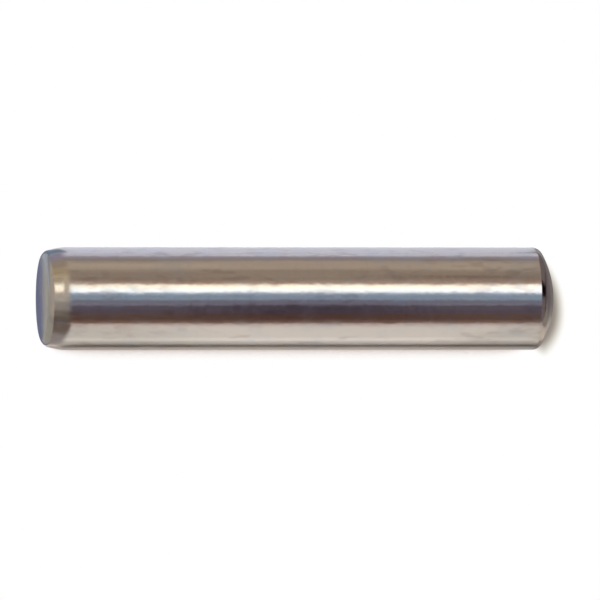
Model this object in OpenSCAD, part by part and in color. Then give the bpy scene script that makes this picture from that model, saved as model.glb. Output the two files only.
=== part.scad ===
// Ground steel dowel pin, turned as one solid piece.
// It stands on its flat lead end: z = 0 is that face, and +Z runs along the axis to the crown.

/* [Pin] */
// Diameter of the ground shank
pin_d = 6.35; // [3:0.05:11]
// Length over both ends
pin_l = 32; // [8:0.25:75]

/* [Lead end] */
// Length of the tapered lead, along the axis
lead_l = 1.2; // [0.8:0.05:3]
// Slope of the lead off the axis, in degrees
lead_angle = 13; // [4:1:18]
// Radius of the tumbled edge between the end face and the lead
lead_edge_r = 0.5; // [0.05:0.05:0.7]
// Radius that runs the lead into the shank
lead_blend_r = 3; // [0.5:0.1:5]

/* [Crowned end] */
// Radius of the crown, struck from the pin's axis
crown_r = 5.8; // [3.5:0.1:14]
// Radius of the broken edge between the crown and the shank
crown_edge_r = 0.6; // [0.05:0.05:0.8]

/* [Hidden] */

steel = [0.63, 0.61, 0.58];
pin_r = pin_d / 2;
// Steps in each small radius, and how finely a preview draws the turned surfaces
arc_steps = 6;
$fn = 144;

// The crown's centre lies on the axis, one crown radius below the top
crown_z = pin_l - crown_r;
// Stock left standing above the crown, which the crown's radius then trims off
stock_h = 1;

function unit(v) = v / norm(v);
function turned(v, a) = [v.x * cos(a) - v.y * sin(a), v.x * sin(a) + v.y * cos(a)];

// Points along an arc that starts at centre + start and turns counter-clockwise
function arc(centre, start, sweep) =
    [for (i = [0:arc_steps]) centre + turned(start, sweep * i / arc_steps)];

// Points of the arc of radius r that rounds corner b, on the way from a to c
function rounded(a, b, c, r) =
    let (
        back = unit(a - b),
        on = unit(c - b),
        half = acos(back * on) / 2,
        centre = b + unit(back + on) * r / sin(half),
        start = b + back * r / tan(half) - centre
    )
    arc(centre, start, 180 - 2 * half);

// End face, lead and the foot of the shank, with both corners rounded
function lead_outline() =
    let (
        axis = [0, 0],
        face_corner = [pin_r - lead_l * tan(lead_angle), 0],
        shank_corner = [pin_r, lead_l],
        shank_top = [pin_r, pin_l]
    )
    concat(
        [axis],
        rounded(axis, face_corner, shank_corner, lead_edge_r),
        rounded(face_corner, shank_corner, shank_top, lead_blend_r)
    );

// Broken edge at the top of the shank: its arc touches the shank and the inside of the crown's circle
function crown_edge_outline() =
    let (
        edge_x = pin_r - crown_edge_r,
        rise = sqrt(pow(crown_r - crown_edge_r, 2) - pow(edge_x, 2)),
        touch_angle = atan2(rise, edge_x)
    )
    arc([edge_x, crown_z + rise], [crown_edge_r, 0], touch_angle);

// Half section of the pin: x is the distance from the axis and y the height
module half_section() {
    edge = crown_edge_outline();
    last = edge[arc_steps];
    // The last step of the edge runs on past the crown's circle, which trims it cleanly
    past = 2 * last - edge[arc_steps - 1];
    intersection() {
        polygon(concat(
            lead_outline(),
            edge,
            [past, [past.x, pin_l + stock_h], [0, pin_l + stock_h]]
        ));
        union() {
            square([pin_d, crown_z]);
            translate([0, crown_z]) circle(r = crown_r);
        }
    }
}

// The whole pin, turned about its axis
module dowel_pin() {
    color(steel) rotate_extrude() half_section();
}

dowel_pin();
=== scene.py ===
# %% [markdown]
# A ground dowel pin, lying on a white table
#
# A dowel pin is one small bar of hardened steel. Its shank is ground round and bright, one end
# has a tapered lead that starts it in its hole, and the other end is a low crown that takes the
# mallet. Nothing on it is painted, so nearly all that a photograph shows of it is the room that
# it mirrors. This lesson turns the pin's skin, gives it a ground finish, and then builds the
# table and the lights that such a finish needs.
#
# The model's frame comes first. The pin stands on its lead end there, with +Z up its axis.

# %% Load the frame
import math

import bmesh
import bpy
from mathutils import Matrix, Vector


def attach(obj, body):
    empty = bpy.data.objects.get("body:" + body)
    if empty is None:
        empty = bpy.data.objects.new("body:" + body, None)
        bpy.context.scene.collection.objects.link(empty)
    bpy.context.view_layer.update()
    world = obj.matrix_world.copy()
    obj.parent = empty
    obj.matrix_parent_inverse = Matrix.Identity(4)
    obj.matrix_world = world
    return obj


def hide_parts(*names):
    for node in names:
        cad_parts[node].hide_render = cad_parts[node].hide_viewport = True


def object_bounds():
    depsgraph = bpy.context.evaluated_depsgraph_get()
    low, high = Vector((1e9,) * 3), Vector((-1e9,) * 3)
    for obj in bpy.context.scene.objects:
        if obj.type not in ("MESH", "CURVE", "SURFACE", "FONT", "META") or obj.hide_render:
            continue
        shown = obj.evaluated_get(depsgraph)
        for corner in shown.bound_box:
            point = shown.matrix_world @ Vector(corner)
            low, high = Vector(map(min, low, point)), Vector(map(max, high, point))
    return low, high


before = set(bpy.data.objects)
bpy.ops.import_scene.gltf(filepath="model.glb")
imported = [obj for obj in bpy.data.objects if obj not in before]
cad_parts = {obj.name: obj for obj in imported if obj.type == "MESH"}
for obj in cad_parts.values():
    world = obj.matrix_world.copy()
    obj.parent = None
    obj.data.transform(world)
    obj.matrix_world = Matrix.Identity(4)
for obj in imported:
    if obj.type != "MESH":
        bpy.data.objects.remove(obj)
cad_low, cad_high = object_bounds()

PIN_RADIUS = (cad_high.x - cad_low.x) / 2
PIN_LENGTH = cad_high.z - cad_low.z
PIN_MIDDLE = (cad_low + cad_high) / 2
PIN_END = PIN_LENGTH / 2  # from the middle to either end
print(f"pin: {2000 * PIN_RADIUS:.3f} mm across, {1000 * PIN_LENGTH:.2f} mm long")

# %% [markdown]
# Lay a table against the standing pin
#
# In the photograph the pin lies on its side. The frame is never turned, so the photograph's
# table becomes a wall that touches the standing pin, and the camera is rolled a quarter turn.
# One matrix holds that idea: its X runs across the table away from the camera, its Y up from
# the table, and its Z along the pin to the crown. The tent, the paper and the lamp are placed
# through it.

# %% The table's own axes
CAMERA_AZIMUTH = math.radians(30)
CAMERA_RISE = math.radians(57)  # how far above the table's surface the camera looks down
to_camera_flat = Vector((math.sin(CAMERA_AZIMUTH), -math.cos(CAMERA_AZIMUTH), 0))
image_up = Vector((-math.cos(CAMERA_AZIMUTH), -math.sin(CAMERA_AZIMUTH), 0))
table_away = -math.cos(CAMERA_RISE) * to_camera_flat + math.sin(CAMERA_RISE) * image_up
table_up = math.sin(CAMERA_RISE) * to_camera_flat + math.cos(CAMERA_RISE) * image_up
along_pin = Vector((0, 0, 1))
TABLE_AXES = Matrix((table_away, table_up, along_pin)).transposed().to_4x4()
TABLE_AXES.translation = PIN_MIDDLE
print("table's up is", tuple(round(v, 3) for v in table_up), "in the frame")


def put_on_table(obj):
    """Places an object that was made in the table's axes."""
    obj.matrix_world = TABLE_AXES @ obj.matrix_world
    return obj


# %% [markdown]
# Aim a very long lens
#
# The two edges of the shank run almost parallel in the photograph, so the camera stands about
# twenty pin lengths away with a long lens. The lead end is turned a little towards it: the
# width of the end face against its height gives the turn. The frame's width at the pin sets
# the scale, and the aim is shifted so that the pin sits where the photograph has it.

# %% Camera
LEAD_TURN = math.radians(9.7)
CAMERA_DISTANCE = 20 * PIN_LENGTH
CAMERA_NEAR = 0.01
VIEW_WIDTH = 0.0371
PIN_LEFT_OF_CENTRE = 0.00014
PIN_ABOVE_CENTRE = 0.000085

to_camera = math.cos(LEAD_TURN) * to_camera_flat - math.sin(LEAD_TURN) * along_pin
image_right = math.cos(LEAD_TURN) * along_pin + math.sin(LEAD_TURN) * to_camera_flat
camera_data = bpy.data.cameras.new("camera")
camera_data.lens = camera_data.sensor_width * CAMERA_DISTANCE / VIEW_WIDTH
camera_data.clip_start = CAMERA_NEAR
camera = bpy.data.objects.new("camera", camera_data)
bpy.context.scene.collection.objects.link(camera)
aim = PIN_MIDDLE + PIN_LEFT_OF_CENTRE * image_right - PIN_ABOVE_CENTRE * image_up
camera_axes = Matrix((image_right, image_up, to_camera)).transposed().to_4x4()
camera_axes.translation = aim + CAMERA_DISTANCE * to_camera
camera.matrix_world = camera_axes
bpy.context.scene.camera = camera
print(f"lens {camera_data.lens:.0f} mm at {1000 * CAMERA_DISTANCE:.0f} mm")

# %% [markdown]
# Arcs and corners
#
# The real pin is turned and ground, so its skin is a half section swept round the axis. That
# section could be drawn as a free curve, but the corners of a turned part are true arcs that
# run smoothly into their neighbours. A corner between two straight stretches is rounded by its
# radius and the headings before and after it. The crown's arcs are placed by their centres.

# %% Arcs and corners
QUARTER = math.pi / 2


def arc(centre, radius, start, end, steps):
    """Points on an arc from angle start to angle end, without its first point."""
    angles = [start + (end - start) * i / steps for i in range(1, steps + 1)]
    return [centre + radius * Vector((math.cos(a), math.sin(a))) for a in angles]


def rounded_corner(corner, radius, before, after, steps):
    """An arc that rounds a corner, from the heading before it to the heading after it."""
    run = radius * math.tan((after - before) / 2)
    start = corner - run * Vector((math.cos(before), math.sin(before)))
    normal = Vector((-math.sin(before), math.cos(before)))
    centre = start + radius * normal
    return [start] + arc(centre, radius, before - QUARTER, after - QUARTER, steps)


def straight(start, end, steps):
    """Points on a line, without its two ends."""
    return [start.lerp(end, i / steps) for i in range(1, steps)]


tried = rounded_corner(Vector((1, 0)), 0.5, 0, QUARTER, 2)
print("a square corner at (1, 0) rounds to", [tuple(round(v, 2) for v in p) for p in tried])

# %% [markdown]
# Draw the half section
#
# The frame's own mesh is made for measuring: it has few facets, and its small radii shade in
# steps. A finer skin of the same form mirrors cleanly, which matters more on a mirror than on
# any other finish. The sizes are those of the solid part, and the small arcs are cut into
# enough steps that light runs smoothly over them.

# %% Half section
LEAD_LENGTH = 0.0012
LEAD_SLOPE = math.radians(13)
LEAD_EDGE_RADIUS = 0.0005
LEAD_BLEND_RADIUS = 0.003
CROWN_RADIUS = 0.0058
CROWN_EDGE_RADIUS = 0.0006
FACE_STEPS = 12
EDGE_STEPS = 22
TAPER_STEPS = 4
BLEND_STEPS = 16
SHANK_STEPS = 60
CROWN_STEPS = 28


def lead_outline():
    """The rounded corners of the lead: off the end face, then onto the shank."""
    face_corner = Vector((PIN_RADIUS - LEAD_LENGTH * math.tan(LEAD_SLOPE), 0))
    shank_corner = Vector((PIN_RADIUS, LEAD_LENGTH))
    heading = QUARTER - LEAD_SLOPE
    edge = rounded_corner(face_corner, LEAD_EDGE_RADIUS, 0, heading, EDGE_STEPS)
    onto_shank = rounded_corner(shank_corner, LEAD_BLEND_RADIUS, heading, QUARTER, BLEND_STEPS)
    return edge, onto_shank


def crown_outline():
    """The broken edge at the shank's top, then the crown up to the axis."""
    middle = Vector((0, PIN_LENGTH - CROWN_RADIUS))
    edge_x = PIN_RADIUS - CROWN_EDGE_RADIUS
    rise = math.sqrt((CROWN_RADIUS - CROWN_EDGE_RADIUS) ** 2 - edge_x ** 2)
    touch = math.atan2(rise, edge_x)
    edge_middle = middle + Vector((edge_x, rise))
    shank_top = edge_middle + Vector((CROWN_EDGE_RADIUS, 0))
    edge = [shank_top] + arc(edge_middle, CROWN_EDGE_RADIUS, 0, touch, EDGE_STEPS)
    dome = arc(middle, CROWN_RADIUS, touch, QUARTER, CROWN_STEPS)
    dome[-1].x = 0
    return edge, dome


lead_edge, lead_blend = lead_outline()
crown_edge, crown = crown_outline()
face = [Vector((0, 0))] + straight(Vector((0, 0)), lead_edge[0], FACE_STEPS)
taper = straight(lead_edge[-1], lead_blend[0], TAPER_STEPS)
shank = straight(lead_blend[-1], crown_edge[0], SHANK_STEPS)
outline = face + lead_edge + taper + lead_blend + shank + crown_edge + crown
print(f"half section of {len(outline)} points")
print(f"shank from {1000 * lead_blend[-1].y:.2f} to {1000 * crown_edge[0].y:.2f} mm up the axis")

# %% [markdown]
# Sweep it round the axis
#
# A lathe makes this form by turning the bar, and a sweep does the same to the half section.
# 256 steps round put each facet at about 1.4 degrees, and smooth shading hides the rest. A
# screw modifier could do it too. The sweep is made in the mesh itself, so that every face is
# there to be given its finish further down. The skin rides the frame's root and replaces the
# plain solid, whose place and size it keeps.

# %% Turned skin
TURN_STEPS = 256
MERGE_WITHIN = 1e-7


def object_from(shape, name):
    """Turns a finished mesh in the making into an object of the scene."""
    mesh = bpy.data.meshes.new(name)
    shape.to_mesh(mesh)
    shape.free()
    made = bpy.data.objects.new(name, mesh)
    bpy.context.scene.collection.objects.link(made)
    return made


def turned_skin(name, points):
    """A closed body of revolution about +Z, with its two poles merged to one point each."""
    shape = bmesh.new()
    ring = [shape.verts.new((p.x, 0, p.y)) for p in points]
    wires = [shape.edges.new(pair) for pair in zip(ring, ring[1:])]
    bmesh.ops.spin(shape, geom=ring + wires, axis=(0, 0, 1), cent=(0, 0, 0),
                   angle=2 * math.pi, steps=TURN_STEPS, use_merge=True)
    bmesh.ops.remove_doubles(shape, verts=shape.verts, dist=MERGE_WITHIN)
    bmesh.ops.recalc_face_normals(shape, faces=shape.faces)
    body = object_from(shape, name)
    body.data.shade_smooth()
    return body


pin = turned_skin("turned_pin", outline)
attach(pin, "root")
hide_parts("dowel_pin")
print(f"turned skin: {len(pin.data.polygons)} faces")

# %% [markdown]
# Measure the skin
#
# A mirror finish hides small errors of size, so the fit is measured here and not judged by
# eye. Both boxes should agree to a few thousandths of a millimetre.

# %% Measure the fit
skin_points = [pin.matrix_world @ v.co for v in pin.data.vertices]
for axis, letter in enumerate("XYZ"):
    under = 1000 * (min(p[axis] for p in skin_points) - cad_low[axis])
    over = 1000 * (cad_high[axis] - max(p[axis] for p in skin_points))
    print(f"axis {letter}: the skin is inside the solid's box by {under:.4f} and {over:.4f} mm")

# %% [markdown]
# Helpers for nodes
#
# Each finish below is a small net of nodes. It could be wired by hand in the shader editor, but
# a few short helpers keep the nets readable as text: they add a node, set or link a socket, do
# sums, and ease from one value to another.

# %% Node helpers
def node(tree, kind, **settings):
    """Adds a node and sets its own options."""
    made = tree.nodes.new(kind)
    for key, value in settings.items():
        setattr(made, key, value)
    return made


def feed(tree, socket, value):
    """Links an output to a socket, or sets the socket to a plain value."""
    if isinstance(value, bpy.types.NodeSocket):
        tree.links.new(value, socket)
    else:
        socket.default_value = value


def maths(tree, operation, *values):
    """One sum; its values are outputs or plain numbers."""
    made = node(tree, "ShaderNodeMath", operation=operation)
    for socket, value in zip(made.inputs, values):
        feed(tree, socket, value)
    return made.outputs[0]


def both(tree, *values):
    """The product of masks: one only where all of them are one."""
    result = values[0]
    for value in values[1:]:
        result = maths(tree, "MULTIPLY", result, value)
    return result


def ease(tree, value, start, end, low=0.0, high=1.0):
    """Goes smoothly from low to high while the value goes from start to end."""
    made = node(tree, "ShaderNodeMapRange", interpolation_type="SMOOTHSTEP")
    for name, amount in (("Value", value), ("From Min", start), ("From Max", end),
                         ("To Min", low), ("To Max", high)):
        feed(tree, made.inputs[name], amount)
    return made.outputs["Result"]


def window_in(tree, value, limits, soft):
    """One between two limits, with soft edges, and nothing outside."""
    start, end = limits
    rise = ease(tree, value, start - soft / 2, start + soft / 2)
    fall = ease(tree, value, end + soft / 2, end - soft / 2)
    return both(tree, rise, fall)


def blend(tree, share, first, second, mode="MIX"):
    """Mixes two colours; a plain colour is given as three numbers."""
    made = node(tree, "ShaderNodeMix", data_type="RGBA", blend_type=mode)
    for index, value in ((0, share), (6, first), (7, second)):
        if isinstance(value, tuple):
            value = (*value, 1)
        feed(tree, made.inputs[index], value)
    return made.outputs[2]


print("helpers for nodes:", ", ".join(f.__name__ for f in (node, feed, maths, both, ease, window_in, blend)))

# %% [markdown]
# Helpers for materials
#
# A few more helpers begin and end a material, say where a point lies, and make noise and node
# groups. All places come from object coordinates, so a mark stays on its spot of steel when the
# pin is moved or seen from another side. Noise is measured in swells to a metre, which keeps
# its grain a real size.

# %% Material helpers
def bare_material(name):
    """A material without nodes, and its tree."""
    material = bpy.data.materials.new(name)
    material.use_nodes = True
    material.node_tree.nodes.clear()
    return material, material.node_tree


def end_in(tree, shader):
    """Ends a material in the given shader."""
    out = node(tree, "ShaderNodeOutputMaterial")
    feed(tree, out.inputs["Surface"], shader)


def place_in(tree):
    """Where a point lies, in the object's own coordinates."""
    return node(tree, "ShaderNodeTexCoord").outputs["Object"]


def parts_of_place(tree):
    """The same place as three numbers."""
    parts = node(tree, "ShaderNodeSeparateXYZ")
    feed(tree, parts.inputs[0], place_in(tree))
    return parts.outputs["X"], parts.outputs["Y"], parts.outputs["Z"]


def distance_of(tree, first, second):
    """How far a point lies from the middle, from its two parts."""
    squares = maths(tree, "ADD", both(tree, first, first), both(tree, second, second))
    return maths(tree, "SQRT", squares)


def noise_of(tree, place, per_metre=(1, 1, 1), detail=2.0, roughness=0.5):
    """Noise with about so many swells to a metre along each axis."""
    squeezed = node(tree, "ShaderNodeVectorMath", operation="MULTIPLY")
    feed(tree, squeezed.inputs[0], place)
    squeezed.inputs[1].default_value = per_metre
    noise = node(tree, "ShaderNodeTexNoise")
    noise.inputs["Scale"].default_value = 1
    noise.inputs["Detail"].default_value = detail
    noise.inputs["Roughness"].default_value = roughness
    feed(tree, noise.inputs["Vector"], squeezed.outputs[0])
    return noise.outputs["Fac"]


def group_of(name, inputs, outputs):
    """An empty node group: inputs are (name, value) and outputs are names, all plain numbers."""
    group = bpy.data.node_groups.new(name, "ShaderNodeTree")
    for label, value in inputs:
        socket = group.interface.new_socket(label, in_out="INPUT", socket_type="NodeSocketFloat")
        socket.default_value = value
    for label in outputs:
        group.interface.new_socket(label, in_out="OUTPUT", socket_type="NodeSocketFloat")
    return group, node(group, "NodeGroupInput").outputs, node(group, "NodeGroupOutput").inputs


print("materials so far:", len(bpy.data.materials))

# %% [markdown]
# Marks that a grinder leaves
#
# A centreless grinder leaves fine rings round the shank, and the stone lets the surface swell
# and sink by a few microns, so the bands in the mirror waver a little. Colour alone could not
# show that, because it is the mirror that wavers: both are heights that tilt it. The rings are
# noise squeezed along the axis, and the swells are broad and small noise added up.
#
# Swells and smudges are on the whole pin, so they are node groups with named sockets that every
# finish can hold. The other marks are such groups too, so one function can place any of them.

# %% Rings and swells
RING_FINE_SHARE = 0.35
RING_DEEP_FROM = 0.54
RING_DEEP_TO = 0.74


def grinding_rings():
    """Fine rings round the axis: a height, and a mask of the deeper ones."""
    tree, given, made = group_of("grinding_rings", [], ["Height", "Deep"])
    place = place_in(tree)
    fine = noise_of(tree, place, (500, 500, 14000), 3.0, 0.6)
    coarse = noise_of(tree, place, (260, 260, 3600))
    fine = maths(tree, "MULTIPLY", fine, RING_FINE_SHARE)
    feed(tree, made["Height"], maths(tree, "ADD", fine, coarse))
    feed(tree, made["Deep"], ease(tree, coarse, RING_DEEP_FROM, RING_DEEP_TO))
    return tree


def slow_swells():
    """The slight swell of a ground surface, as a height."""
    tree, given, made = group_of("slow_swells", [("Small share", 0.9)], ["Height"])
    place = place_in(tree)
    broad = noise_of(tree, place, (900, 900, 620), 1.0)
    small = noise_of(tree, place, (2300, 2300, 1900), 1.0)
    small = maths(tree, "MULTIPLY", small, given["Small share"])
    feed(tree, made["Height"], maths(tree, "ADD", broad, small))
    return tree


RINGS = grinding_rings()
SWELLS = slow_swells()
print("shared effects:", RINGS.name, "and", SWELLS.name)

# %% [markdown]
# Marks of handling
#
# Oil and fingers dull bright steel in soft clouds, and pins that roll about in a box rub small,
# slightly darker marks into one another. They could be painted on, but only one side of the
# real pin can be seen, so a cloud of noise and a finer fleck of noise place them all round.
# Both are masks: the clouds make the steel rougher, and the marks darken and warm its colour.

# %% Smudges and rub marks
def smudges():
    """Where handling and oil have dulled the steel, and where small rub marks lie."""
    tree, given, made = group_of("smudges", [("Amount", 1.0)], ["Mask", "Marks"])
    place = place_in(tree)
    cloud = noise_of(tree, place, (800, 800, 520), 4.0, 0.62)
    feed(tree, made["Mask"], both(tree, ease(tree, cloud, 0.42, 0.70), given["Amount"]))
    patch = noise_of(tree, place, (700, 700, 150), 1.0)
    fleck = noise_of(tree, place, (2300, 2300, 900), 1.0)
    marks = both(tree, ease(tree, patch, 0.44, 0.60), ease(tree, fleck, 0.46, 0.70))
    feed(tree, made["Marks"], both(tree, marks, given["Amount"]))
    return tree


SMUDGES = smudges()
print("sockets of the smudges:", ", ".join(socket.name for socket in SMUDGES.interface.items_tree))

# %% [markdown]
# Marks on the two ends
#
# The lead and the crown were tumbled among stones, which pits them finely and evenly. The end
# face was cut off in the lathe, and the tool left circles on it. Pits are plain fine noise. The
# circles are noise too, but taken by the distance from the axis, with a slow drift across the
# face so that no circle is perfect.

# %% Pits and circles
PITS_PER_METRE = 5200
CIRCLE_DRIFT = 160.0


def tumbled_pits():
    """Fine, even pitting, as a height."""
    tree, given, made = group_of("tumbled_pits", [("Density", 1.0)], ["Height"])
    scaled = node(tree, "ShaderNodeVectorMath", operation="SCALE")
    feed(tree, scaled.inputs[0], place_in(tree))
    feed(tree, scaled.inputs["Scale"], given["Density"])
    feed(tree, made["Height"], noise_of(tree, scaled.outputs[0], (PITS_PER_METRE,) * 3, 2.0, 0.6))
    return tree


def tool_circles():
    """Circles round the axis, as a cut-off tool leaves them on a face."""
    tree, given, made = group_of("tool_circles", [("Circles per metre", 16000.0)], ["Height"])
    x, y, z = parts_of_place(tree)
    along = node(tree, "ShaderNodeCombineXYZ")
    feed(tree, along.inputs[0], both(tree, distance_of(tree, x, y), given["Circles per metre"]))
    feed(tree, along.inputs[1], maths(tree, "MULTIPLY", x, CIRCLE_DRIFT))
    feed(tree, made["Height"], noise_of(tree, along.outputs[0], detail=3.0, roughness=0.6))
    return tree


PITS = tumbled_pits()
CIRCLES = tool_circles()
print("shared effects in all:", ", ".join(group.name for group in bpy.data.node_groups))

# %% [markdown]
# Three finishes on one bar
#
# The shank is ground and lightly polished, so it mirrors in clean bands. The lead and the crown
# are only tumbled, so they are a little duller. The end face keeps the circles of the cut-off
# tool. The three are one steel, so one function makes them: only the roughness, the colour, the
# kind of mark and its depth differ. A bump is right for all these marks, because each is a few
# microns deep at most. Real grooves would need millions of faces and look no better.

# %% Finishes
STEEL = (0.60, 0.575, 0.55)
FACED_STEEL = (0.57, 0.555, 0.54)
STAINED = (0.56, 0.565, 0.575)
RUBBED = (0.37, 0.31, 0.30)
RUBBED_SHARE = 0.34
DEEP_RING = (0.30, 0.28, 0.27)
DEEP_RING_SHARE = 0.05
SWELL_DEPTH = 6.5e-6
RING_DEPTH = 2.2e-7
PIT_DEPTH = 6.0e-7
CIRCLE_DEPTH = 4.0e-7


def use(tree, group):
    """Places a shared effect in a material."""
    return node(tree, "ShaderNodeGroup", node_tree=group)


def bumped(tree, height, depth, normal=None):
    """Turns a height into a tilt of the surface; depth is in metres."""
    bump = node(tree, "ShaderNodeBump")
    bump.inputs["Strength"].default_value = 1
    bump.inputs["Distance"].default_value = depth
    feed(tree, bump.inputs["Height"], height)
    if normal:
        feed(tree, bump.inputs["Normal"], normal)
    return bump.outputs["Normal"]


def steel(name, roughness, dulled, colour, marks, mark_depth):
    """Steel with swells, smudges and the given marks; it is dullest where a smudge lies."""
    material, tree = bare_material(name)
    swells = use(tree, SWELLS)
    handled = use(tree, SMUDGES)
    smudge = handled.outputs["Mask"]
    mark = use(tree, marks)
    shader = node(tree, "ShaderNodeBsdfPrincipled")
    shader.inputs["Metallic"].default_value = 1
    tint = blend(tree, smudge, colour, STAINED)
    tint = blend(tree, maths(tree, "MULTIPLY", handled.outputs["Marks"], RUBBED_SHARE), tint, RUBBED)
    if "Deep" in mark.outputs:
        deep = maths(tree, "MULTIPLY", mark.outputs["Deep"], DEEP_RING_SHARE)
        tint = blend(tree, deep, tint, DEEP_RING)
    feed(tree, shader.inputs["Base Color"], tint)
    feed(tree, shader.inputs["Roughness"], ease(tree, smudge, 0.0, 1.0, roughness, dulled))
    swelled = bumped(tree, swells.outputs["Height"], SWELL_DEPTH)
    feed(tree, shader.inputs["Normal"], bumped(tree, mark.outputs["Height"], mark_depth, swelled))
    end_in(tree, shader.outputs[0])
    return material


pin.data.materials.append(steel("ground_shank", 0.13, 0.18, STEEL, RINGS, RING_DEPTH))
pin.data.materials.append(steel("tumbled_ends", 0.15, 0.20, STEEL, PITS, PIT_DEPTH))
pin.data.materials.append(steel("faced_end", 0.12, 0.18, FACED_STEEL, CIRCLES, CIRCLE_DEPTH))
print("finishes:", ", ".join(material.name for material in pin.data.materials))

# %% [markdown]
# Give each face its finish
#
# The grinder reaches the shank only. So the faces between the two tangent lines take the
# ground finish, the flat end takes the cut-off finish, and the lead and the crown take the
# tumbled one. A mask in the material could do the same, but the lines on the real pin are
# sharp, and faces give sharp lines for nothing.

# %% Where each finish goes
GROUND, TUMBLED, FACED = 0, 1, 2
FLAT_WITHIN = 1e-6
shank_low = lead_blend[-1].y
shank_high = crown_edge[0].y
for polygon in pin.data.polygons:
    height = polygon.center.z
    if height < FLAT_WITHIN:
        polygon.material_index = FACED
    elif height < shank_low or height > shank_high:
        polygon.material_index = TUMBLED
    else:
        polygon.material_index = GROUND
for index, material in enumerate(pin.data.materials):
    count = sum(1 for polygon in pin.data.polygons if polygon.material_index == index)
    print(f"{material.name}: {count} faces")

# %% [markdown]
# The room in the mirror
#
# A bright cylinder mirrors the whole half circle of the room over it, squeezed into bands that
# run along its length. A photograph of a room on a sphere could light it, but no such picture
# of this room exists. So the room is built as a long tent round the pin whose light changes
# with the angle: haze behind, a taupe wall, a strip light overhead, a cold spill beside it, and
# a dark room in front. The bands were set one by one until the steel looked like the real one.

# %% Bands over the shank
# Each band: what it is, its start in degrees up from the horizon behind the pin, and its light
BANDS = [
    ("pale haze at the back", 0, (0.78, 0.79, 0.90)),
    ("shade over the haze", 13, (0.42, 0.38, 0.43)),
    ("top of the wall", 21, (0.385, 0.33, 0.33)),
    ("taupe wall", 30, (0.535, 0.43, 0.34)),
    ("brown ceiling", 55, (0.41, 0.325, 0.255)),
    ("rosy edge of the strip", 82, (0.52, 0.37, 0.29)),
    ("warm half of the strip", 91.6, (1.76, 1.58, 1.30)),
    ("white half of the strip", 95.5, (2.00, 1.90, 1.60)),
    ("cold half of the strip", 101, (1.78, 1.87, 1.88)),
    ("spill of the strip", 109.3, (0.41, 0.52, 0.67)),
    ("blue-grey ceiling", 115, (0.31, 0.385, 0.51)),
    ("dusk", 126, (0.21, 0.195, 0.265)),
    ("dark room", 137, (0.079, 0.058, 0.081)),
    ("dark brown front", 157, (0.112, 0.057, 0.046)),
    ("glow on the horizon", 172, (0.20, 0.115, 0.085)),
]
print(f"{len(BANDS)} bands over the shank")

# %% [markdown]
# The room off to the sides
#
# The tapered lead is tilted, so it mirrors another part of the room than the shank does: the
# tent's left part has bands of its own. The dark room in front is narrow, so both ends of the
# shank mirror what stands beside it, an open doorway for one. That is given as a share of the
# light above, because a band that goes on to the side keeps its kind of light.

# %% Bands over the lead and to the sides
LEFT_BANDS = [
    ("dusky haze", 0, (0.35, 0.31, 0.42)),
    ("violet shade", 10, (0.37, 0.33, 0.42)),
    ("taupe wall", 22, (0.40, 0.33, 0.27)),
    ("olive wall", 46, (0.53, 0.41, 0.26)),
    ("lit ceiling", 68, (0.68, 0.55, 0.38)),
    ("beside the lamp", 88, (0.62, 0.51, 0.39)),
    ("under the lamp", 112, (0.62, 0.55, 0.47)),
    ("grey wall", 130, (0.37, 0.33, 0.30)),
    ("dark grey wall", 150, (0.21, 0.17, 0.14)),
    ("dark bench", 170, (0.15, 0.12, 0.10)),
]
# How the room off to both sides differs from its middle, as a share of the light there
SIDE_BANDS = [
    ("haze", 0, (1.0, 0.97, 0.97)),
    ("foot of the wall", 18, (0.92, 0.93, 0.93)),
    ("wall", 36, (1.05, 1.07, 1.08)),
    ("over the wall", 62, (0.94, 0.92, 0.93)),
    ("edge of the strip", 75, (0.85, 0.82, 0.82)),
    ("strip", 87, (1.0, 1.0, 1.0)),
    ("under the ceiling", 120, (1.10, 1.16, 1.10)),
    ("open doorway", 135, (1.85, 2.05, 1.92)),
    ("lower doorway", 148, (1.65, 1.85, 1.65)),
    ("floor by the doorway", 160, (1.36, 1.68, 1.74)),
    ("front", 169, (1.18, 1.22, 1.15)),
]
print(f"{len(LEFT_BANDS)} bands over the lead and {len(SIDE_BANDS)} to the sides")

# %% [markdown]
# Bands as a colour ramp
#
# A colour ramp turns the angle into light. Each band takes two of its stops, one where it
# starts and one where it ends, so it stays even inside and blends into the next one over a few
# degrees. That is about how soft the edges of the bands are in the real steel.

# %% Ramps
EDGE_WIDTH = 4.0
HALF_CIRCLE = 180


def band_ramp(ramp, bands):
    """Fills a colour ramp with the bands, each edge blended over a few degrees."""
    half = EDGE_WIDTH / 2
    for index, (name, start, colour) in enumerate(bands):
        if index:
            before = ramp.elements.new((start - half) / HALF_CIRCLE)
            before.color = (*bands[index - 1][2], 1)
            after = ramp.elements.new((start + half) / HALF_CIRCLE)
        else:
            after = ramp.elements[0]
            after.position = 0
        after.color = (*colour, 1)
    ramp.elements[-1].color = (*bands[-1][2], 1)


def ramp_of(tree, over, bands):
    """The light of the bands at an angle, which is given as a share of the half circle."""
    ramp = node(tree, "ShaderNodeValToRGB")
    band_ramp(ramp.color_ramp, bands)
    feed(tree, ramp.inputs[0], over)
    return ramp.outputs[0]


def over_in(tree, x, y):
    """How far round the tent a point is: 0 is the horizon behind, 0.5 overhead, 1 in front."""
    return maths(tree, "DIVIDE", maths(tree, "ARCTAN2", y, x), math.pi)


print(f"each edge is {EDGE_WIDTH:.0f} degrees wide")

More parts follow.
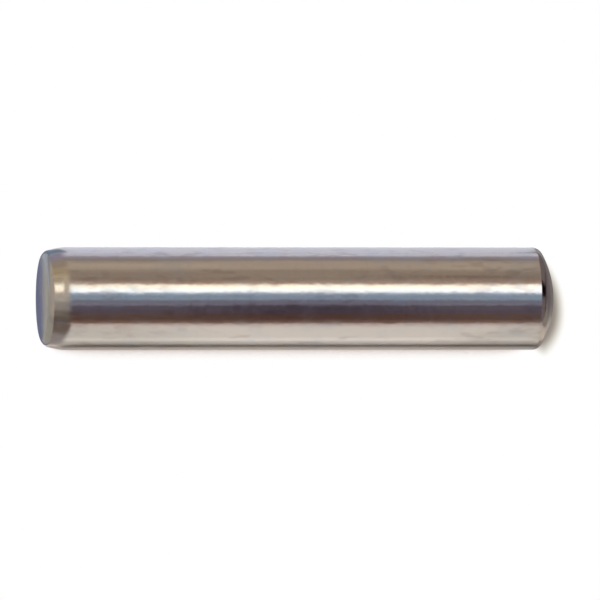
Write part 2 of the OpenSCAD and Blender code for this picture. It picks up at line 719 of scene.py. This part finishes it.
# %% [markdown]
# What stands in the room
#
# The camera looks from the lead's side, so each place on the shank mirrors one in the tent
# about 25 mm further to the crown. Places along the tent are measured from the pin's middle.
# A round lamp stands up to the left, which the lead mirrors as a dot. A beam darkens a short
# stretch of the ceiling beside the strip light. The strip ends in a bright cap, and past it
# the room is black, which is what the rounded edge of the crown catches. Real lamps would have
# to be balanced against the tent's light, so all of them are painted into it.

# %% Lamp, beam and cap
LAMP_OVER = 0.545
LAMP_HALF_TURN = 0.062
LAMP_ALONG = -0.0594
LAMP_HALF_LENGTH = 0.0050
LAMP_LIGHT = (3.0, 2.75, 2.2)
BEAM_ALONG = (0.035, 0.0405)
BEAM_OVER = (0.385, 0.425)
BEAM_SHADE = (0.50, 0.42, 0.42)
CAP_ALONG = (0.046, 0.070)
CAP_OVER = (0.505, 0.62)
CAP_LIGHT = (1.9, 1.9, 2.0)
FAR_RIGHT_LIGHT = (0.21, 0.165, 0.165)
GAP_OVER = (0.445, 0.665)
GAP_LIGHT = (0.003, 0.002, 0.004)


def round_lamp(tree, over, z, colour):
    """Adds the lamp, an oval with a soft edge."""
    across = maths(tree, "DIVIDE", maths(tree, "SUBTRACT", over, LAMP_OVER), LAMP_HALF_TURN)
    along = maths(tree, "DIVIDE", maths(tree, "SUBTRACT", z, LAMP_ALONG), LAMP_HALF_LENGTH)
    reach = maths(tree, "ADD", both(tree, across, across), both(tree, along, along))
    return blend(tree, ease(tree, reach, 1.35, 0.55), colour, LAMP_LIGHT)


def beam_by_strip(tree, over, z, colour):
    """Darkens a short stretch of the ceiling beside the strip light."""
    beam = both(tree, window_in(tree, z, BEAM_ALONG, 0.003), window_in(tree, over, BEAM_OVER, 0.02))
    return blend(tree, beam, colour, BEAM_SHADE, "MULTIPLY")


def end_of_strip(tree, over, z, colour):
    """Ends the strip in its cap, then a dim wall with a black gap in it."""
    cap = both(tree, window_in(tree, z, CAP_ALONG, 0.004), window_in(tree, over, CAP_OVER, 0.03))
    colour = blend(tree, cap, colour, CAP_LIGHT)
    colour = blend(tree, ease(tree, z, 0.058, 0.082), colour, FAR_RIGHT_LIGHT)
    gap = both(tree, ease(tree, z, 0.068, 0.080), window_in(tree, over, GAP_OVER, 0.04))
    return blend(tree, gap, colour, GAP_LIGHT)


print(f"round lamp {1000 * LAMP_ALONG:.0f} mm along the tent, cap from {1000 * CAP_ALONG[0]:.0f} mm")

# %% [markdown]
# Light the tent
#
# The tent glows by itself, so its colours are the light that the steel mirrors. Its middle, its
# two sides, its left part and its far left blend into one another along the pin. A weak, broad
# noise makes each band uneven, as the walls of a real room are.

# %% Light of the tent
MIDDLE_ALONG = (0.0188, 0.033)
LEFT_STARTS, LEFT_FULL = 0.000, -0.031
FAR_LEFT_STARTS, FAR_LEFT_FULL = -0.066, -0.078
FAR_LEFT_LOW = (0.36, 0.38, 0.42)
FAR_LEFT_HIGH = (0.54, 0.475, 0.395)
UNEVEN_OVER = 14.0
UNEVEN_PER_METRE = 260.0


def room_light(tree, over, z):
    """The colour of the room: its middle, its sides, its left part and its far left."""
    beside = maths(tree, "SUBTRACT", 1.0, window_in(tree, z, MIDDLE_ALONG, 0.004))
    colour = blend(tree, beside, ramp_of(tree, over, BANDS), ramp_of(tree, over, SIDE_BANDS), "MULTIPLY")
    colour = beam_by_strip(tree, over, z, colour)
    left = ease(tree, z, LEFT_STARTS, LEFT_FULL)
    colour = blend(tree, left, colour, ramp_of(tree, over, LEFT_BANDS))
    end_wall = blend(tree, ease(tree, over, 0.08, 0.16), FAR_LEFT_LOW, FAR_LEFT_HIGH)
    return blend(tree, ease(tree, z, FAR_LEFT_STARTS, FAR_LEFT_FULL), colour, end_wall)


def unevenness(tree, over, z):
    """How bright each place of a band is, about one."""
    spread = node(tree, "ShaderNodeCombineXYZ")
    feed(tree, spread.inputs[0], maths(tree, "MULTIPLY", over, UNEVEN_OVER))
    feed(tree, spread.inputs[1], maths(tree, "MULTIPLY", z, UNEVEN_PER_METRE))
    return ease(tree, noise_of(tree, spread.outputs[0], detail=3.0), 0.22, 0.78, 0.82, 1.18)


def studio_material():
    """The room's light, with all that stands in it."""
    material, tree = bare_material("studio")
    x, y, z = parts_of_place(tree)
    over = over_in(tree, x, y)
    colour = round_lamp(tree, over, z, room_light(tree, over, z))
    light = node(tree, "ShaderNodeEmission")
    feed(tree, light.inputs["Color"], end_of_strip(tree, over, z, colour))
    feed(tree, light.inputs["Strength"], unevenness(tree, over, z))
    end_in(tree, light.outputs[0])
    return material


studio_light = studio_material()
print(f"studio light of {len(studio_light.node_tree.nodes)} nodes")

# %% [markdown]
# Hang the tent
#
# The tent is a plain tube in the table's axes. The steel alone sees it: the camera, the table
# and the shadows do not, so the white paper round the pin stays white.

# %% Studio tent
STUDIO_RADIUS = 0.15
STUDIO_REACH = 0.25


def mirrored_only(obj):
    """Shows a stage piece to the steel only, not to the camera or the table."""
    obj.visible_camera = False
    obj.visible_shadow = False
    obj.visible_diffuse = False
    return put_on_table(obj)


def studio_tent():
    """A tube round the pin, open at both ends."""
    shape = bmesh.new()
    bmesh.ops.create_cone(shape, segments=96, radius1=STUDIO_RADIUS, radius2=STUDIO_RADIUS,
                          depth=2 * STUDIO_REACH, cap_ends=False)
    tube = object_from(shape, "studio_tent")
    tube.data.shade_smooth()
    tube.data.materials.append(studio_light)
    return mirrored_only(tube)


tent = studio_tent()
print("tent of", tuple(round(1000 * v) for v in tent.dimensions), "mm")

# %% [markdown]
# Close the tent's ends
#
# The rounded edges at both ends of the pin tilt through a full quarter turn, so they mirror
# the ends of the tent as well. A dark card stands past the crown and a pale one past the lead.
# Each has a sector overhead with a light of its own, where the strip would end on it.

# %% Studio ends
SECTOR_OVER = (0.34, 0.67)
SECTOR_STARTS, SECTOR_FULL = 0.055, 0.085


def end_card(name, along, colour, overhead):
    """A round card across the tent; its sector overhead has a colour of its own."""
    shape = bmesh.new()
    bmesh.ops.create_circle(shape, segments=64, radius=STUDIO_RADIUS, cap_ends=True)
    card = object_from(shape, name)
    card.matrix_world = Matrix.Translation((0, 0, along))
    material, tree = bare_material(name)
    x, y, z = parts_of_place(tree)
    outside = ease(tree, distance_of(tree, x, y), SECTOR_STARTS, SECTOR_FULL)
    sector = both(tree, window_in(tree, over_in(tree, x, y), SECTOR_OVER, 0.06), outside)
    light = node(tree, "ShaderNodeEmission")
    feed(tree, light.inputs["Color"], blend(tree, sector, colour, overhead))
    end_in(tree, light.outputs[0])
    card.data.materials.append(material)
    return mirrored_only(card)


end_card("dark_end", STUDIO_REACH, (0.15, 0.11, 0.12), (0.008, 0.006, 0.01))
end_card("pale_end", -STUDIO_REACH, (0.50, 0.44, 0.37), (0.52, 0.45, 0.37))
print("end cards at", STUDIO_REACH, "and", -STUDIO_REACH, "m along the tent")

# %% [markdown]
# Sheets of paper
#
# The table is two sheets of paper in one place: one that only the steel sees, lit for real, and
# one that only the camera sees, burnt out to white as in the photograph. One sheet could do
# both only if the steel mirrored burnt-out paper, and in the photograph it mirrors grey. Every
# sheet is clear from its back, so a camera that looks from behind still sees the pin.

# %% Sheet helpers
def flat_sheet(name, corners):
    """A flat sheet of the stage; seen from its front, the corners run anticlockwise."""
    mesh = bpy.data.meshes.new(name)
    mesh.from_pydata(corners, [], [(0, 1, 2, 3)])
    sheet = bpy.data.objects.new(name, mesh)
    bpy.context.scene.collection.objects.link(sheet)
    return sheet


def table_sheet(name, half_x, half_z, y):
    """A flat sheet across the table's X and Z that faces up from the table."""
    corners = [(-half_x, y, -half_z), (-half_x, y, half_z), (half_x, y, half_z), (half_x, y, -half_z)]
    return put_on_table(flat_sheet(name, corners))


def one_sided(tree, front):
    """Ends a material so that its back is clear."""
    side = node(tree, "ShaderNodeNewGeometry")
    clear = node(tree, "ShaderNodeBsdfTransparent")
    pick = node(tree, "ShaderNodeMixShader")
    feed(tree, pick.inputs[0], side.outputs["Backfacing"])
    feed(tree, pick.inputs[1], front)
    feed(tree, pick.inputs[2], clear.outputs[0])
    end_in(tree, pick.outputs[0])


print(f"the table lies {1000 * PIN_RADIUS:.3f} mm from the axis")

# %% [markdown]
# Paper for the mirror, beside the pin
#
# The lower half of the shank mirrors the paper on which the pin lies. That paper is lit for
# real, so the pin's own shadow shows in the steel. Its colour is painted warm in front of the pin
# and bluish behind it, as the room's light would tint it. Light that the pin throws down makes a
# bright line some 6 to 7 mm in front. The core of the shadow lies next to it, and a glow lies close
# under the steel. Light that bounces off a mirror takes very long to render, so these three are
# painted on the paper: a painted highlight line, a painted shadow core and a painted glow.

# %% Lit paper
# Painted light: the warm and bluish paper tints, the thrown light line and the shadow core.
PAPER_WARM_LIGHT_IN_FRONT = (0.79, 0.73, 0.665)
PAPER_COOL_LIGHT_BEHIND = (0.64, 0.65, 0.73)
PAPER_FAR_OUT = (0.66, 0.46, 0.385)
PAPER_ASIDE = (0.83, 0.84, 0.83)
MARK_EDGE = 0.0008
THROWN_ACROSS = (-0.0071, -0.0057)
THROWN_LIGHT = (1, 0.96, 0.90)
CORE_ACROSS = (-0.0054, -0.0040)
CORE_SHADE = (0.30, 0.27, 0.26)


def beside_pin(tree, z):
    """One over the pin's own length, and nothing past its two ends."""
    return window_in(tree, z, (0.0003 - PIN_END, PIN_END - 0.0006), 0.0012)


def lit_paper(tree, x, z):
    """The paper across the pin, with painted room tints and the painted light and shade the pin throws."""
    paper = blend(tree, ease(tree, x, -0.004, 0.004), PAPER_WARM_LIGHT_IN_FRONT, PAPER_COOL_LIGHT_BEHIND)
    paper = blend(tree, ease(tree, x, -0.016, -0.100), paper, PAPER_FAR_OUT)
    thrown = both(tree, window_in(tree, x, THROWN_ACROSS, MARK_EDGE), beside_pin(tree, z))
    paper = blend(tree, both(tree, thrown, 0.50), paper, THROWN_LIGHT)
    core = both(tree, window_in(tree, x, CORE_ACROSS, MARK_EDGE), beside_pin(tree, z))
    paper = blend(tree, both(tree, core, 0.30), paper, CORE_SHADE)
    slanted = maths(tree, "MULTIPLY_ADD", x, 0.4, z)
    aside = maths(tree, "MAXIMUM", ease(tree, z, -0.002, -0.011), ease(tree, slanted, 0.0065, 0.0105))
    aside = both(tree, aside, ease(tree, x, 0.004, -0.004))
    return blend(tree, aside, paper, PAPER_ASIDE, "MULTIPLY")


print("thrown light lies", tuple(round(-1000 * x, 1) for x in THROWN_ACROSS), "mm before the axis")

# %% [markdown]
# Paper for the mirror, past the lead
#
# The tilted lead mirrors what lies past the pin's end. First comes a wedge of dark bench that
# opens away from the pin: its sides fan out, because rays leave the steel at a slant. Past the
# face the paper is painted grey as the pin's shade, with a painted contact shadow at its edge.

# %% Past the lead
# Painted shade past the face, and the painted contact shadow where the pin's edge meets it.
FACE_SHADE_IN_FRONT = (0.34, 0.325, 0.285)
FACE_SHADE_BEHIND = (0.37, 0.39, 0.44)
FACE_SHADE_FAR_BEHIND = (0.25, 0.26, 0.28)
CONTACT_SHADOW_COLOUR = (0.13, 0.14, 0.225)


def line_beside(tree, x, slope, offset):
    """A slanted limit: how far past the pin's end it lies at a distance across the table."""
    return maths(tree, "MULTIPLY_ADD", x, slope, offset)


def dark_wedge(tree, x, z):
    """The bench that the lead mirrors: a wedge that opens away from the pin, past the paper."""
    off_axis = maths(tree, "ABSOLUTE", x)
    past = maths(tree, "SUBTRACT", -PIN_END, z)
    near = line_beside(tree, off_axis, -0.108, -0.00035)
    far = line_beside(tree, off_axis, 0.33, -0.0011)
    starts = ease(tree, maths(tree, "SUBTRACT", past, near), -0.0007, 0.0007)
    ends = ease(tree, maths(tree, "SUBTRACT", far, past), -0.0004, 0.0004)
    return both(tree, starts, ends)


def past_the_face(tree, x, z, paper):
    """Painted shade on the paper past the lead's face, darkest where the pin touches it."""
    past_face = ease(tree, z, 0.0002 - PIN_END, -0.0002 - PIN_END)
    face_shade = blend(tree, ease(tree, x, 0.003, 0.007), FACE_SHADE_IN_FRONT, FACE_SHADE_BEHIND)
    face_shade = blend(tree, ease(tree, x, 0.014, 0.030), face_shade, FACE_SHADE_FAR_BEHIND)
    paper = blend(tree, past_face, paper, face_shade)
    # The painted contact shadow along the face's edge.
    past = maths(tree, "SUBTRACT", -PIN_END, z)
    contact_line = line_beside(tree, x, 0.075, 0.00050)
    rim = ease(tree, maths(tree, "SUBTRACT", past, contact_line), 0.00010, -0.00010)
    return blend(tree, both(tree, rim, past_face), paper, CONTACT_SHADOW_COLOUR)


print(f"the lead's face lies {1000 * PIN_END:.1f} mm from the pin's middle")

# %% [markdown]
# Paper for the mirror, past the crown
#
# The crown mirrors the paper past the other end. It lies in the pin's shade there, darker
# behind the pin than in front of it, and these limits fan out too. A last patch of light that
# the pin throws down lies under the crown's edge.

# %% Past the crown
SHADE_BEHIND_NEAR = (0.18, 0.165, 0.155)
SHADE_BEHIND_FAR = (0.155, 0.13, 0.135)
LIT_BEHIND = (0.36, 0.35, 0.37)
SHADE_IN_FRONT_NEAR = (0.64, 0.555, 0.48)
SHADE_IN_FRONT_FAR = (0.30, 0.25, 0.21)


def past_the_crown(tree, x, z, paper):
    """Shaded paper past the crown, darker behind the pin than in front of it."""
    off_axis = maths(tree, "ABSOLUTE", x)
    starts = line_beside(tree, off_axis, 0.175, PIN_END - 0.0008)
    past_crown = ease(tree, maths(tree, "SUBTRACT", z, starts), -0.0007, 0.0007)
    fades = line_beside(tree, off_axis, 0.5, PIN_END + 0.0035)
    far = ease(tree, maths(tree, "SUBTRACT", z, fades), -0.001, 0.001)
    behind = blend(tree, far, SHADE_BEHIND_NEAR, SHADE_BEHIND_FAR)
    lit_behind = both(tree, ease(tree, x, 0.007, 0.014), ease(tree, z, PIN_END + 0.011, PIN_END + 0.007))
    behind = blend(tree, lit_behind, behind, LIT_BEHIND)
    in_front = blend(tree, far, SHADE_IN_FRONT_NEAR, SHADE_IN_FRONT_FAR)
    shaded = blend(tree, ease(tree, x, 0.002, -0.0045), behind, in_front)
    return blend(tree, past_crown, paper, shaded)


def glow_of_steel(tree, x, z):
    """Light thrown close under the steel, and a last patch of it under the crown's edge."""
    under = both(tree, window_in(tree, x, (-0.0034, -0.001), MARK_EDGE), beside_pin(tree, z), 0.62)
    by_crown = window_in(tree, z, (PIN_END - 0.0002, PIN_END + 0.0024), 0.0012)
    by_crown = both(tree, by_crown, window_in(tree, x, (-0.0038, 0.0003), 0.0012), 0.44)
    return maths(tree, "ADD", under, by_crown)


print(f"the crown's top lies {1000 * PIN_END:.1f} mm from the pin's middle")

# %% [markdown]
# Lay the mirrored sheet
#
# The three stretches of paper and the bench join in one material. It is plain diffuse paper
# with a weak glow added, so the lamp's light and the pin's shadow fall on it as they would.

# %% Sheet that the steel mirrors
TABLE_HALF_WIDTH = 0.149
TABLE_HALF_LENGTH = 0.24
BENCH_BEHIND = (0.17, 0.21, 0.265)
BENCH_FAR_BEHIND = (0.28, 0.31, 0.39)
BENCH_UNDER = (0.29, 0.25, 0.235)
BENCH_IN_FRONT = (0.17, 0.125, 0.10)
GLOW_COLOUR = (0.62, 0.54, 0.49, 1)


def bench_colour(tree, x):
    """The dark bench: bluish behind the pin, paler under it and brown in front."""
    behind = blend(tree, ease(tree, x, 0.025, 0.060), BENCH_BEHIND, BENCH_FAR_BEHIND)
    in_front = blend(tree, ease(tree, x, -0.007, -0.0115), BENCH_UNDER, BENCH_IN_FRONT)
    return blend(tree, ease(tree, x, 0.003, -0.003), behind, in_front)


def mirrored_paper():
    """Paper and bench as the steel sees them, lit for real, with the glow added."""
    material, tree = bare_material("mirrored_paper")
    x, y, z = parts_of_place(tree)
    paper = past_the_face(tree, x, z, lit_paper(tree, x, z))
    paper = past_the_crown(tree, x, z, paper)
    skin = node(tree, "ShaderNodeBsdfDiffuse")
    feed(tree, skin.inputs["Color"], blend(tree, dark_wedge(tree, x, z), paper, bench_colour(tree, x)))
    glow = node(tree, "ShaderNodeEmission")
    glow.inputs["Color"].default_value = GLOW_COLOUR
    feed(tree, glow.inputs["Strength"], glow_of_steel(tree, x, z))
    lit = node(tree, "ShaderNodeAddShader")
    feed(tree, lit.inputs[0], skin.outputs[0])
    feed(tree, lit.inputs[1], glow.outputs[0])
    one_sided(tree, lit.outputs[0])
    return material


mirrored_table = table_sheet("mirrored_table", TABLE_HALF_WIDTH, TABLE_HALF_LENGTH, -PIN_RADIUS)
mirrored_table.data.materials.append(mirrored_paper())
mirrored_table.visible_camera = False
mirrored_table.visible_shadow = False
mirrored_table.visible_diffuse = False
print("table faces", tuple(round(v, 2) for v in mirrored_table.data.polygons[0].normal))

# %% [markdown]
# Burn the paper out
#
# The photograph is exposed for the steel, so its paper is burnt out to pure white. Only where
# the pin hides most of the sky does a shadow survive. More light on the table would burn the
# steel out as well, so the paper glows by itself instead: the open share of the sky at each
# point is scaled up past white and clipped, which leaves the short, warm shadow of such a
# picture. Blue is scaled up least, which is what makes it warm.

# %% Burnt-out paper
SKY_REACH = 0.03
SKY_SAMPLES = 16
WHITE = (1, 1, 1)


def burnt_paper(tree, darkest, exposure):
    """White paper with a shadow only where the pin hides most of the sky."""
    sky = node(tree, "ShaderNodeAmbientOcclusion", samples=SKY_SAMPLES)
    sky.inputs["Distance"].default_value = SKY_REACH
    open_sky = maths(tree, "MAXIMUM", maths(tree, "SUBTRACT", sky.outputs["AO"], darkest), 0.0)
    burnt = node(tree, "ShaderNodeVectorMath", operation="SCALE")
    burnt.inputs[0].default_value = exposure
    feed(tree, burnt.inputs["Scale"], open_sky)
    clipped = node(tree, "ShaderNodeVectorMath", operation="MINIMUM")
    feed(tree, clipped.inputs[0], burnt.outputs[0])
    clipped.inputs[1].default_value = WHITE
    return clipped.outputs[0]


def camera_only(sheet, material):
    """Gives a sheet its paper and hides it from the steel, the lamp and the other sheets."""
    sheet.data.materials.append(material)
    sheet.visible_glossy = False
    sheet.visible_shadow = False
    sheet.visible_diffuse = False


print(f"the pin shades what lies within {1000 * SKY_REACH:.0f} mm of it")

# %% [markdown]
# Paper for the camera
#
# A second shade lies along the pin on the side away from the camera, where the pin hides it,
# and comes out past the crown. Its end is half an oval with a soft, warm edge. The sheet lies
# a hundredth of a millimetre under the mirrored one, so the two never fight for one place.

# %% Paper that the camera sees
SEEN_DEPTH = 0.00001
SEEN_HALF = 0.4
DARKEST_SKY = 0.130
OVEREXPOSURE = (7.2, 6.2, 5.6)
SHADE_ACROSS = 0.0018
SHADE_HALF_WIDTH = 0.0033
SHADE_END_HALF_WIDTH = 0.0043
SHADE_END_MIDDLE = PIN_END - 0.00133
SHADE_END_LENGTH = 0.00275
SHADE_COLOUR = (0.29, 0.256, 0.22)
SHADE_RIM = (1, 0.98, 0.93)


def shade_past_crown(tree, x, z):
    """A soft, warm shade that lies along the pin and comes out past its crown."""
    half_width = ease(tree, z, PIN_END - 0.0011, PIN_END, SHADE_HALF_WIDTH, SHADE_END_HALF_WIDTH)
    across = maths(tree, "DIVIDE", maths(tree, "SUBTRACT", x, SHADE_ACROSS), half_width)
    beyond = maths(tree, "DIVIDE", maths(tree, "SUBTRACT", z, SHADE_END_MIDDLE), SHADE_END_LENGTH)
    reach = distance_of(tree, across, maths(tree, "MAXIMUM", beyond, 0.0))
    within = both(tree, ease(tree, z, 0.0015 - PIN_END, 0.0060 - PIN_END), ease(tree, x, 0.0062, 0.0044))
    deep = both(tree, ease(tree, reach, 1.07, 0.765), within)
    rim = both(tree, window_in(tree, reach, (0.80, 1.02), 0.12), within)
    return blend(tree, rim, blend(tree, deep, WHITE, SHADE_COLOUR), SHADE_RIM, "MULTIPLY")


def seen_paper():
    """Burnt-out paper with the shade past the crown."""
    material, tree = bare_material("seen_paper")
    x, y, z = parts_of_place(tree)
    paper = burnt_paper(tree, DARKEST_SKY, OVEREXPOSURE)
    light = node(tree, "ShaderNodeEmission")
    feed(tree, light.inputs["Color"], blend(tree, 1.0, paper, shade_past_crown(tree, x, z), "MULTIPLY"))
    one_sided(tree, light.outputs[0])
    return material


seen_table = table_sheet("seen_table", SEEN_HALF, SEEN_HALF, -PIN_RADIUS - SEEN_DEPTH)
camera_only(seen_table, seen_paper())
print(f"paper for the camera lies {1000 * (PIN_RADIUS + SEEN_DEPTH):.3f} mm from the axis")

# %% [markdown]
# A floor under the standing pin
#
# In the frame the pin stands on its lead end, and the pictures from other sides show it so. It
# gets a floor there, just under the end face. The floor is white paper too, but the sky over it
# is scaled up less, because a standing pin hides at most half of the sky. The photograph's
# camera looks at the end face from below, so the floor is clear from that side.

# %% Floor
FLOOR_DEPTH = 0.00002
FLOOR_HALF = 0.4
FLOOR_DARKEST_SKY = 0.24
FLOOR_OVEREXPOSURE = (1.75, 1.70, 1.65)


def floor_paper():
    """White paper with the soft shadow of the standing pin."""
    material, tree = bare_material("floor_paper")
    light = node(tree, "ShaderNodeEmission")
    feed(tree, light.inputs["Color"], burnt_paper(tree, FLOOR_DARKEST_SKY, FLOOR_OVEREXPOSURE))
    one_sided(tree, light.outputs[0])
    return material


def floor_sheet(half):
    """A square sheet just under the pin's lead end, which faces up."""
    sheet = flat_sheet("floor", [(-half, -half, 0), (half, -half, 0), (half, half, 0), (-half, half, 0)])
    sheet.matrix_world = Matrix.Translation((0, 0, cad_low.z - FLOOR_DEPTH))
    return sheet


floor = floor_sheet(FLOOR_HALF)
camera_only(floor, floor_paper())
print("floor faces", tuple(round(v, 2) for v in floor.data.polygons[0].normal))

# %% [markdown]
# One window
#
# The tent lights nothing but the mirror, so a single soft lamp lights the paper in it. It
# stands high, behind the pin and to the left, where the photograph's shadows put it. A point of
# light would be simpler, but a disk gives the soft-edged shadow of a real window.

# %% Lamp
WINDOW_PLACE = (0.13, 0.42, -0.16)
WINDOW_SIZE = 0.13
WINDOW_WATTS = 2.6


def lamp(name, place, size, watts):
    """A round soft lamp in the table's axes that faces the pin."""
    data = bpy.data.lights.new(name, "AREA")
    data.shape = "DISK"
    data.size = size
    data.energy = watts
    obj = bpy.data.objects.new(name, data)
    bpy.context.scene.collection.objects.link(obj)
    turn = Vector(place).normalized().to_track_quat("Z", "Y").to_matrix().to_4x4()
    obj.matrix_world = Matrix.Translation(Vector(place)) @ turn
    obj.visible_camera = False
    obj.visible_glossy = False
    return put_on_table(obj)


window = lamp("window", WINDOW_PLACE, WINDOW_SIZE, WINDOW_WATTS)
print("window at", tuple(round(v, 3) for v in window.matrix_world.translation))

# %% [markdown]
# White past the paper
#
# The camera sees plain white past the paper. All other rays get a dim grey room, which fills
# the shadows a little. The tent and its end cards close the room for the steel, so the steel
# mirrors neither.

# %% World
WHITE_PAST_PAPER = (1, 1, 1, 1)
DIM_ROOM = (0.20, 0.20, 0.21, 1)


def background(tree, colour):
    """A plain background of one colour."""
    made = node(tree, "ShaderNodeBackground")
    made.inputs["Color"].default_value = colour
    return made.outputs[0]


def white_world():
    """A world that is white for the camera and a dim room for all other rays."""
    made = bpy.data.worlds.new("world")
    bpy.context.scene.world = made
    made.use_nodes = True
    tree = made.node_tree
    tree.nodes.clear()
    ray = node(tree, "ShaderNodeLightPath")
    pick = node(tree, "ShaderNodeMixShader")
    feed(tree, pick.inputs[0], ray.outputs["Is Camera Ray"])
    feed(tree, pick.inputs[1], background(tree, DIM_ROOM))
    feed(tree, pick.inputs[2], background(tree, WHITE_PAST_PAPER))
    out = node(tree, "ShaderNodeOutputWorld")
    feed(tree, out.inputs["Surface"], pick.outputs[0])


white_world()
bpy.context.scene.view_settings.view_transform = "Standard"
print("view transform:", bpy.context.scene.view_settings.view_transform)
